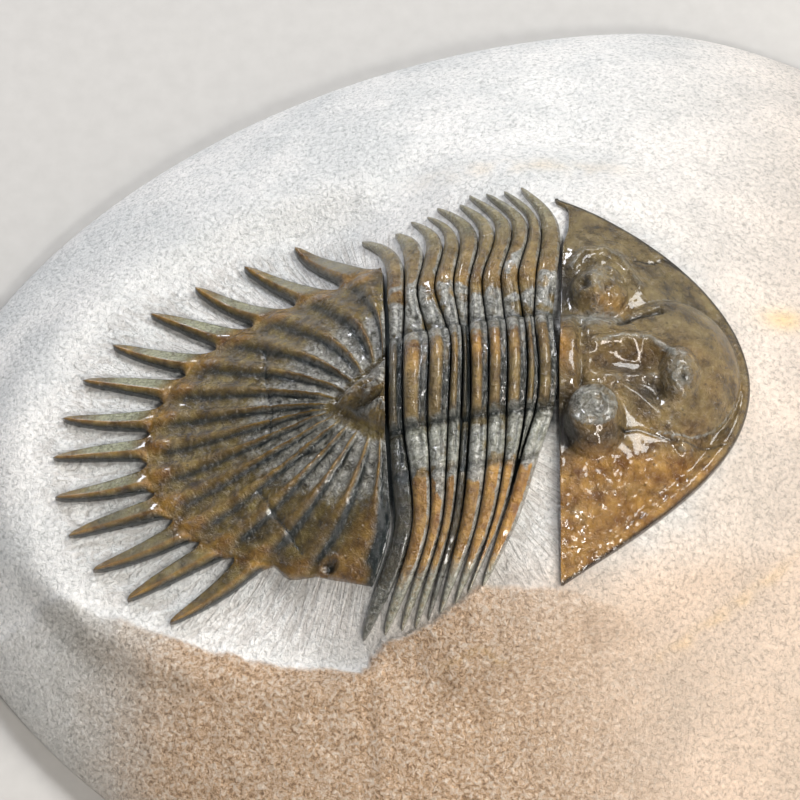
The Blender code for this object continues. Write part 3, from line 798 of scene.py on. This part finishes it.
thorax = {
    "seamT": (-21.0, -12.3, -7.5, -3.5, 5.5, 9.5, 17.5, 21.0),
    # x of each seam at those distances from the midline, from the head backwards
    "seamX": (
        (-6.0, -1.9, -0.3, 1.0, 1.0, 1.5, 1.4, -0.6),
        (-7.2, -3.4, -1.9, -0.72, -0.72, -0.45, -0.25, -2.3),
        (-7.4, -3.5, -2.3, -1.65, -1.65, -2.05, -1.4, -4.0),
        (-7.9, -4.35, -3.5, -3.3, -3.3, -3.6, -2.9, -5.5),
        (-8.9, -5.75, -5.1, -4.95, -4.95, -5.3, -4.4, -6.9),
        (-10.0, -7.3, -6.75, -6.5, -6.5, -6.45, -6.1, -8.8),
        (-10.8, -8.05, -7.5, -7.3, -7.3, -7.85, -7.85, -10.6),
        (-12.0, -8.95, -8.6, -8.45, -8.45, -9.5, -9.25, -12.0),
        (-13.3, -10.1, -10.1, -10.3, -10.3, -11.1, -10.95, -13.6),
        (-15.0, -11.65, -11.9, -12.4, -12.4, -12.3, -13.6, -16.5),
        (-17.2, -13.35, -13.5, -13.75, -13.75, -13.9, -15.9, -20.5),
    ),
    "nearTip": (-18.4, -8.0, -18.8, -19.5, -20.0, -20.3, -20.7, -20.6, -20.6, -20.6),
    "farTip": (21.0, 20.8, 20.9, 21.1, 20.1, 20.4, 19.6, 19.6, 18.6, 19.0),
    "taper": 5.0,
    "gap": 0.12,
    "ringRound": 1.0,
    "bladeRound": 0.42,
    "stations": 230,
    "across": 21,
    "ringShare": 0.36,  # a ring is a glossy tube behind this place and a sunken half ring before it
    # how orange each segment is, how much painted shade it has and how deep it is, from the head backwards
    "amberNear": (1.0, 0.5, 0.9, 0.85, 0.7, 0.2, 0.65, 0.85, 0.7, 0.05),
    "amberRing": (0.25, 0.25, 0.45, 0.8, 0.85, 0.2, 0.3, 0.3, 0.55, 0.2),
    "darkNear": (0.0, 0.3, 0.1, 0.1, 0.15, 0.8, 0.1, 0.1, 0.1, 0.85),
    "darkRing": (0.05, 0.1, 0.0, 0.1, 0.0, 0.75, 0.0, 0.0, 0.0, 0.65),
    "sunk": (0.0, 0.0, 0.0, 0.0, 0.0, 0.55, 0.0, 0.0, 0.0, 0.45),
}


def seamAt(seam, t):
    return smoothCurve(thorax["seamT"], thorax["seamX"][seam], t)


def buildSegment(number):
    which = number - 1
    nearTip, farTip = thorax["nearTip"][which], thorax["farTip"][which]
    row = np.linspace(nearTip, farTip, thorax["stations"])
    across = np.sin(np.linspace(-1.0, 1.0, thorax["across"]) * pi / 2)
    t, a = np.meshgrid(row, across, indexing="ij")
    front, rear = seamAt(which, t), seamAt(which + 1, t)
    left = np.clip(np.minimum(t - nearTip, farTip - t) / thorax["taper"], 0.0, 1.0)
    shape = np.sqrt(left)
    half = np.maximum(0.06, 0.5 * (front - rear - thorax["gap"]) * shape)
    x = 0.5 * (front + rear) + a * half

    off = t - axis["centreT"]
    onRing = ease(axis["halfWidth"] + 0.1, axis["halfWidth"] - 0.5, np.abs(off))
    onTube = np.clip((2.0 * a + 1.0 - thorax["ringShare"]) / (1.0 + thorax["ringShare"]), -1.0, 1.0)
    tube = np.sqrt(1.0 - np.square(0.97 * onTube)) - 0.35
    halfRing = ease(thorax["ringShare"] - 0.05, thorax["ringShare"] + 0.15, a) * onRing
    flatBlade = 1.0 - a ** 4
    outward = ease(4.0, 9.0, np.abs(off) - axis["halfWidth"] + 3.0)
    lift = axisRelief(t) + onRing * thorax["ringRound"] * tube
    lift += (1.0 - onRing) * shape * thorax["bladeRound"] * flatBlade
    lift += 0.10 * outward * shape * hill((a + 0.35) / 0.4)
    lift -= thorax["sunk"][which] * ease(12.0, 7.0, np.abs(off))
    rough = uneven(x, t, 0.8, 40.0 + number, 3)
    wander = uneven(x, t, 2.6, 140.0 + number, 3)
    inner = between(-8.3, -3.4, 1.2, t + 4.5 * wander) + between(5.2, 9.4, 1.6, t + 6.0 * wander)
    inner *= (1.0 - 0.85 * onRing)
    lift += 0.17 * rough * inner + 0.05 * rough
    lift += halfRing * (0.12 + 0.25 * rough)
    outside = np.abs(off) - axis["halfWidth"]
    pleuralFurrow = hill((a - 0.25) / 0.22) * ease(0.3, 1.3, outside) * ease(9.5, 7.0, np.abs(off))
    lift -= 0.22 * pleuralFurrow
    # the fulcrum on the near side is chipped
    chip = hill((t + 8.3 + 0.5 * rough) / 0.35)
    lift -= 0.18 * chip

    # masks, each built up across the blade from the axis outwards
    blotch = 0.5 + 0.5 * uneven(x, t, 1.8, 60.0 + number, 3)
    shadeHere = thorax["darkNear"][which]
    nearOuter = ease(-7.4, -9.2, t)
    farOuter = ease(9.0, 11.5, t)
    patina = inner * (0.52 + 0.75 * blotch + 0.18 * (t < 0)) + 0.6 * between(3.6, 5.6, 0.5, t + 0.8 * rough)
    frontEdge = ease(0.45, 0.80, a)
    patina += 0.65 * halfRing * (0.4 + blotch)
    patina += frontEdge * (0.85 * nearOuter + 0.6 * farOuter) * (0.4 + blotch)
    patina *= (1.0 - 0.8 * shadeHere * (t < -4))
    patina += 0.35 * ease(16.0, 19.0, t) + 0.60 * ease(-14.5, -18.0, t)
    amber = thorax["amberNear"][which] * nearOuter * (0.7 + 0.5 * blotch)
    amber += 0.22 * between(8.6, 11.6, 0.8, t) * (0.5 + blotch) + 0.25 * farOuter * blotch
    ringMiddle = 0.25 + 0.75 * between(0.6, 3.8, 0.9, t)
    amber += thorax["amberRing"][which] * onRing * ringMiddle * (0.4 + blotch)
    # painted shade in the furrows, between the rings and blades, on the sunken half rings, over the sunken
    # segments and in the chip
    groove = 0.9 * hill((outside - 0.15) / 0.32)
    groove += 0.85 * onRing * hill((a - thorax["ringShare"] - 0.02) / 0.13)
    groove += 0.45 * pleuralFurrow * blotch
    groove += 0.85 * onRing * ease(0.80, 0.97, np.abs(a)) * ease(4.5, 2.0, t)
    groove += 0.45 * halfRing * (blotch + ease(2.5, 0.0, t))
    groove += 0.8 * ease(-0.84, -0.99, a) * (1.0 - onRing) * ease(15.0, 11.0, np.abs(off))
    groove += shadeHere * ease(-3.0, -5.0, t) * (1.0 - 0.4 * ease(-15.0, -19.0, t))
    groove += thorax["darkRing"][which] * onRing + 0.5 * chip
    pale = 0.40 * between(-8.0, -3.8, 0.9, t) * blotch + 0.35 * ease(-15.5, -18.0, t)
    pale *= (1.0 - shadeHere)
    blade = 0.35 * ease(13.0, 18.0, t) * (1.0 - frontEdge) + pale
    masks = {"patina": patina, "groove": groove, "amber": amber, "blade": blade}
    faces = gridFaces(thorax["stations"], thorax["across"])
    name = f"thoraxSegment{number:02d}"
    node = f"thoracic_segment_{number:02d}"
    return closePlate(name, x, t, lift, faces, masks, thoraxShell, node)


for segmentNumber in range(1, len(thorax["seamX"])):
    buildSegment(segmentNumber)


# tail shield: ribs fan out from the short axis to a margin of flat spines

tail = {
    "centreX": -17.0,
    "length": 19.0,
    "halfWidth": 13.5,
    "skew": 0.0575,
    "axisApex": (-18.6, 0.0),
    "axisCorner": (-14.3, 3.6),
    "farCorner": 14.5,
    "nearCorner": -16.5,
    "ribPairs": 7,
    "ribPitch": radians(12.8),
    "ribTurn": radians(6.6),
    "ribSwing": 0.55,
    "ribSteps": 16,
    "shieldRows": 64,
    "hubRows": 12,
    "hubRise": 2.3,
    "cordRise": 0.62,
    "waveRise": 0.55,
    "spineLength": 9.0,
    "spineRows": 26,
    "spineRidge": 0.62,
    "ridgeAcross": -0.42,  # the ridge of a spine lies towards its near side
    "brokenSpines": (-6, -7),
    "cracks": (
        ((-25.2, 8.0), (-25.0, 4.1), (-24.4, 1.2), (-24.6, -1.5)),
        ((-25.6, -6.1), (-24.0, -8.7), (-21.4, -12.6)),
        ((-24.0, -4.6), (-22.2, -3.7), (-19.5, -3.9)),
    ),
    "pit": (-18.9, -14.3, 0.85, 0.75),
    "crackDepth": 0.28,
    "pitRim": 0.35,
    "pitDepth": 0.55,
    "noduleRise": 0.08,  # small swelling at each spine's root
    "knob": (-16.9, 0.7, 1.6, 1.1),
    "knobRise": 0.75,
    "hubDent": (-15.8, -0.9, 0.9, 0.7),
    "hubDentDepth": 0.8,
    "hubShade": (-16.1, -1.1, 0.9, 0.8),
    # how strongly a painted reflection lightens the upper facet, from the spine numbered -5 on the near
    # side to 7 on the far side
    "paleAt": (-5, -2, 0, 4, 6, 7),
    "pale": (0.0, 0.25, 0.8, 0.75, 0.35, 0.2),
    "spineBow": 0.16,
}


def tailMargin(rib):
    angle = tail["ribPitch"] * rib
    # the broken stretch on the near side bulges past the line of the others
    bulge = 1.1 * between(-7.3, -5.7, 0.3, rib)
    x = tail["centreX"] - (tail["length"] + bulge) * np.cos(angle)
    t = (tail["halfWidth"] + bulge) * np.sin(angle)
    return x, t


def ribPoint(rib, share):
    side = np.where(rib > 0, 1.0, -1.0)
    start = np.minimum(1.0, np.abs(rib) / tail["ribPairs"]) ** 1.5
    ax = mix(tail["axisApex"][0], tail["axisCorner"][0], start)
    at = mix(tail["axisApex"][1], tail["axisCorner"][1], start) * side
    bx, bt = tailMargin(rib)
    swing = tail["ribSwing"] * np.hypot(bx - ax, bt - at)
    cx = bx + swing * np.cos(tail["ribTurn"] * rib)
    ct = bt - swing * np.sin(tail["ribTurn"] * rib)
    keep = (1 - share) ** 2
    x = keep * ax + 2 * share * (1 - share) * cx + share * share * bx
    t = keep * at + 2 * share * (1 - share) * ct + share * share * bt
    return x + tail["skew"] * t, t


def shieldPoint(rib, share):
    # rib curves over the fan; the last rib lies halfway to the straight front edge
    limit = tail["ribPairs"] - 0.5
    side = np.where(rib > 0, 1.0, -1.0)
    x0, t0 = ribPoint(np.clip(rib, -limit, limit), share)
    corner = np.where(rib > 0, tail["farCorner"], tail["nearCorner"])
    t1 = mix(tail["axisCorner"][1] * side, corner, share)
    x1 = seamAt(10, t1) - bed["gap"]
    beyond = np.clip(np.abs(rib) - limit, 0.0, 1.0)
    return mix(x0, x1, beyond), mix(t0, t1, beyond)


def buildTail():
    steps = int((tail["ribPairs"] + 0.5) * tail["ribSteps"])
    ribs = np.arange(-steps, steps + 1) / tail["ribSteps"]
    outShare = np.arange(tail["shieldRows"] + 1) / tail["shieldRows"]
    rib, share = np.meshgrid(ribs, outShare, indexing="ij")
    fanX, fanT = shieldPoint(rib, share)
    d = rib - np.round(rib)  # place between two ribs, 0 on a rib
    inner = 1.0 - ease(0.38, 0.62, share)
    wobble = uneven(fanX, fanT, 1.5, 71.0)
    # thin cords near the axis, broad low folds towards the margin
    cordPlace = d + 0.025 * wobble
    cord = np.where(cordPlace > 0, hill(cordPlace / 0.14), hill(cordPlace / 0.08))
    fold = np.where(d > 0, (0.5 + 0.5 * np.cos(2 * pi * d)) ** 1.2, hill(d / 0.25))
    cordHere = cord * inner * ease(0.03, 0.16, share)
    foldHere = fold * (1.0 - inner * 0.75) * ease(0.1, 0.4, share)
    lift = tail["cordRise"] * cordHere + tail["waveRise"] * foldHere
    lift += 0.17 * uneven(fanX, fanT, 0.7, 75.0, 3) * inner + 0.03 * wobble
    lift = lift * (1.0 - 0.3 * ease(0.93, 1.0, share)) + 0.10 * uneven(fanX, fanT, 0.9, 79.0, 3)
    crackNear = np.full(np.shape(fanX), farAway)
    for line in tail["cracks"]:
        crackNear = np.minimum(crackNear, distanceToLine(fanX + 0.12 * wobble, fanT, line))
    lift -= tail["crackDepth"] * hill(crackNear / 0.14)
    pit = ovalAway(fanX, fanT, tail["pit"])
    lift += tail["pitRim"] * hill((pit - 1.15) / 0.35) - tail["pitDepth"] * hill(pit / 0.6)

    blotch = 0.5 + 0.5 * uneven(fanX, fanT, 2.2, 77.0, 3)
    near = ease(2.0, -8.0, fanT)
    outer = ease(0.45, 0.75, share)
    # painted shadow on the near side of each rib, and painted shade in the cracks, the pit and between the
    # cords, along the last rib's near end and darker towards the near side
    undercut = hill((d + 0.22 + 0.08 * outer) / 0.135)
    undercut *= ease(0.04, 0.2, share) * (1.0 - ease(0.86, 0.97, share))
    groove = undercut * (1.0 - 0.15 * outer) + 0.8 * hill(crackNear / 0.10) + 0.9 * hill(pit / 0.6)
    groove += 0.25 * (1.0 - cord) * inner * ease(0.5, 0.2, blotch)
    groove += 0.7 * ease(7.30, 7.45, np.abs(rib)) * near
    nodule = hill(d / 0.20) * between(0.90, 0.985, 0.03, share)
    amber = 0.60 * cordHere + 0.44 * fold * ease(0.35, 0.55, share) * (0.35 + 0.35 * near) + 0.9 * nodule
    amber += 0.30 * ease(0.9, 1.0, share) + 0.55 * hill((pit - 1.1) / 0.4)
    amber += 0.10 * near * ease(0.55, 0.95, share) * blotch
    amber += 0.5 * between(-7.4, -6.6, 0.1, rib) * ease(0.4, 0.7, share)
    patina = 0.80 * inner * (1.0 - cord) * ease(0.02, 0.10, share) * (0.75 + 0.4 * blotch)
    # painted highlight on the nodules at the spines' roots
    patina += 0.45 * nodule * blotch + 0.16 * (1.0 - inner) * (1.0 - fold) * (0.4 + blotch)
    groove += 0.25 * ease(-7.0, -11.0, fanT)
    blade = np.zeros(np.shape(fanX))
    lift += tail["noduleRise"] * nodule

    # axis: a steep brown wedge with a smooth knob behind, built from rows inside the fan
    startX, startT = fanX[:, 0], fanT[:, 0]
    middleX = float(seamAt(10, 0.0)) - bed["gap"]
    hub = (np.arange(1, tail["hubRows"]) / tail["hubRows"])[None, :]
    hubX = mix(middleX, startX[:, None], hub)
    hubT = startT[:, None] * hub
    hubLift = tail["hubRise"] * np.sqrt(1.0 - hub * hub) * np.ones_like(hubX)
    hubRough = uneven(hubX, hubT, 1.0, 81.0, 3)
    hubLift += 0.8 * hubRough * (1.0 - hub ** 4)
    hubLift += tail["knobRise"] * mound(hubX, hubT, tail["knob"], 1.0, 0.6)
    hubLift -= tail["hubDentDepth"] * patch(hubX, hubT, tail["hubDent"])
    # painted shade on the hub's near side, its near outer edge and its dent
    hubPaintedShade = 0.25 * ease(0.4, -0.6, hubT) + 0.6 * ease(0.85, 1.0, hub) * ease(1.0, -1.0, hubT)
    hubPaintedShade += 0.55 * patch(hubX, hubT, tail["hubShade"])
    # pale film on the hub's far side and bumps, partly painted light
    hubPatina = 0.12 + 0.7 * ease(0.6, 2.2, hubT) + 0.25 * ease(0.85, 1.0, hub)
    hubPatina += 0.6 * ease(-0.2, 0.4, hubRough)
    hubAmber = 0.30 + 0.35 * hubRough

    def together(inside, outside):
        return np.concatenate([inside, outside], axis=1)

    x = together(hubX, fanX)
    t = together(hubT, fanT)
    columns = x.shape[1]
    x, t = x.ravel().tolist(), t.ravel().tolist()
    rise = together(hubLift, lift).ravel().tolist()
    masks = {
        "groove": together(hubPaintedShade * np.ones_like(hubX), groove).ravel().tolist(),
        "patina": together(hubPatina * np.ones_like(hubX), patina).ravel().tolist(),
        "amber": together(hubAmber, amber).ravel().tolist(),
        "blade": together(np.zeros_like(hubX), blade).ravel().tolist(),
    }
    faces = [face[::-1] for face in gridFaces(len(ribs), columns)]
    x.append(middleX)
    t.append(0.0)
    rise.append(tail["hubRise"])
    for key, value in (("groove", 0.3), ("patina", 0.0), ("amber", 0.3), ("blade", 0.0)):
        masks[key].append(value)
    faces += [[(k + 1) * columns, k * columns, len(x) - 1] for k in range(len(ribs) - 1)]

    # spines: flat upper facet with a painted reflection, ridge near the lower side and a steep facet under
    # it with painted shade
    reach = tail["ribSteps"] // 2
    acrossSteps = np.linspace(-1.0, 1.0, 2 * reach + 1)
    for spine in range(-tail["ribPairs"], tail["ribPairs"] + 1):
        if spine in tail["brokenSpines"]:
            continue
        middle = spine * tail["ribSteps"] + steps
        base = [k * columns + columns - 1 for k in range(middle - reach, middle + reach + 1)]
        rootX, rootT = 0.5 * (x[base[0]] + x[base[-1]]), 0.5 * (t[base[0]] + t[base[-1]])
        halfX, halfT = 0.5 * (x[base[-1]] - x[base[0]]), 0.5 * (t[base[-1]] - t[base[0]])
        aimX, aimT = -cos(tail["ribTurn"] * spine), sin(tail["ribTurn"] * spine)
        ridge = tail["ridgeAcross"]
        facetSheen = float(np.interp(spine, tail["paleAt"], tail["pale"]))
        before = base
        for rowNumber in range(1, tail["spineRows"] + 1):
            out = (rowNumber / tail["spineRows"]) ** 1.15
            tip = rowNumber == tail["spineRows"]
            width = (1.0 - out) ** 0.50 * (0.68 + 0.30 * np.exp(-out / 0.045))
            bow = tail["spineBow"] * sin(pi * out) * (1 if spine % 2 else -1)
            atRoot = float(ease(0.16, 0.0, out))
            sheenHere = facetSheen * float(ease(0.06, 0.30, out)) * (1.0 - 0.85 * float(ease(0.50, 0.85, out)))
            amberHere = 0.7 * float(ease(0.18, 0.0, out)) + 0.45 * float(ease(0.55, 0.9, out))
            now = []
            for across in ([0.0] if tip else acrossSteps):
                slope = abs(across - ridge) / (1.0 - ridge if across > ridge else 1.0 + ridge)
                height = tail["spineRidge"] * (1.0 - slope) * (1.0 - 0.55 * out)
                # keep the shield's own profile at the root
                height = mix(height, 0.25 * (1.0 - abs(across)), atRoot)
                x.append(rootX + aimX * tail["spineLength"] * out + across * halfX * width - aimT * bow)
                t.append(rootT + aimT * tail["spineLength"] * out + across * halfT * width + aimX * bow)
                rise.append(0.0 if tip else height)
                # painted reflection on the upper facet, painted shade on the lower facet and as dark lines
                # along the edges
                above = float(ease(ridge + 0.02, ridge + 0.25, across))
                onRidge = float(hill((across - ridge) / 0.22))
                below = float(ease(ridge - 0.20, ridge - 0.45, across))
                rimLine = 0.6 * float(ease(0.93, 1.0, abs(across))) * float(ease(0.02, 0.1, out))
                masks["blade"].append(sheenHere * above)
                masks["amber"].append(0.65 * onRidge + amberHere)
                masks["groove"].append(rimLine + 0.65 * below * float(ease(0.02, 0.12, out)))
                masks["patina"].append(0.0)
                now.append(len(x) - 1)
            for k in range(2 * reach):
                if tip:
                    faces.append([before[k], before[k + 1], now[0]])
                else:
                    faces.append([before[k], before[k + 1], now[k + 1], now[k]])
            before = now
    return closePlate("tailShield", x, t, rise, faces, masks, tailShell, "pygidium")


buildTail()


# floor, lights and camera

studio = {
    "floorSize": 1.6,
    "floorColours": ("B8B6B2", "BDBBB7"),
    "worldColour": "E8ECF2",
    "worldStrength": 0.13,
    "target": (-12.7, -2.15, 26.0),
    "elevation": 65.0,
    "distance": 300.0,
    "pixelsPerMm": 11.2,
    "frameWidth": 800,
    "sensorWidth": 36.0,
    "lightsAim": (-8.0, 0.0, 20.0),
    # place in mm, width and height in metres, power in watts and colour
    "lights": {
        "softboxBack": ((215.0, 125.0, 370.0), (0.18, 0.15), 1.6, "FFFDFA"),
        "stripRight": ((150.0, -270.0, 190.0), (0.03, 0.26), 0.7, "FFF4EA"),
        "softboxFront": ((70.0, -230.0, 330.0), (0.05, 0.05), 0.58, "FFFDFA"),
        "softboxLeft": ((-150.0, 300.0, 230.0), (0.08, 0.08), 0.85, "F4F6FF"),
    },
}


def addLight(name, place, size, power, colour):
    data = bpy.data.lights.new(name, "AREA")
    data.shape = "RECTANGLE"
    data.size, data.size_y = size
    data.energy = power
    data.color = hexColour(colour)[:3]
    light = bpy.data.objects.new(name, data)
    light.location = Vector(place) * mm
    direction = Vector(studio["lightsAim"]) - Vector(place)
    light.rotation_euler = direction.to_track_quat("-Z", "Y").to_euler()
    bpy.context.scene.collection.objects.link(light)


def buildStudio():
    half = studio["floorSize"] / 2
    mesh = bpy.data.meshes.new("studioFloor")
    corners = [(-half, -half, 0), (half, -half, 0), (half, half, 0), (-half, half, 0)]
    mesh.from_pydata(corners, [], [(0, 1, 2, 3)])
    floor = bpy.data.objects.new("studioFloor", mesh)
    # uncoated backdrop paper: even, matt and pale, with a faint fibre
    paper = bpy.data.materials.new("matPaperFloor")
    paper.use_nodes = True
    tree = paper.node_tree
    fibre = addNode(tree, "TexNoise", scale=900.0, detail=2.0)
    shades = list(zip((0.3, 0.7), studio["floorColours"]))
    tone = addNode(tree, "ValToRGB", stops=shades, fac=fibre.outputs["Fac"])
    tree.links.new(tone.outputs[0], tree.nodes["Principled BSDF"].inputs["Base Color"])
    tree.nodes["Principled BSDF"].inputs["Roughness"].default_value = 0.9
    mesh.materials.append(paper)
    bpy.context.scene.collection.objects.link(floor)

    for name, values in studio["lights"].items():
        addLight(name, *values)

    world = bpy.data.worlds.new("studioAir")
    world.use_nodes = True
    background = world.node_tree.nodes["Background"]
    background.inputs["Color"].default_value = hexColour(studio["worldColour"])
    background.inputs["Strength"].default_value = studio["worldStrength"]
    bpy.context.scene.world = world

    data = bpy.data.cameras.new("copyStandCamera")
    data.sensor_width = studio["sensorWidth"]
    shownWidth = studio["frameWidth"] / studio["pixelsPerMm"]
    data.lens = data.sensor_width * studio["distance"] / shownWidth
    data.clip_start = 0.01
    camera = bpy.data.objects.new("copyStandCamera", data)
    lean = radians(studio["elevation"])
    offset = Vector((0.0, -cos(lean), sin(lean))) * studio["distance"]
    camera.location = (Vector(studio["target"]) + offset) * mm
    camera.rotation_euler = (pi / 2 - lean, 0.0, 0.0)
    bpy.context.scene.collection.objects.link(camera)
    bpy.context.scene.camera = camera


buildStudio()
bpy.context.scene.view_settings.view_transform = "Standard"
print("studio ready")
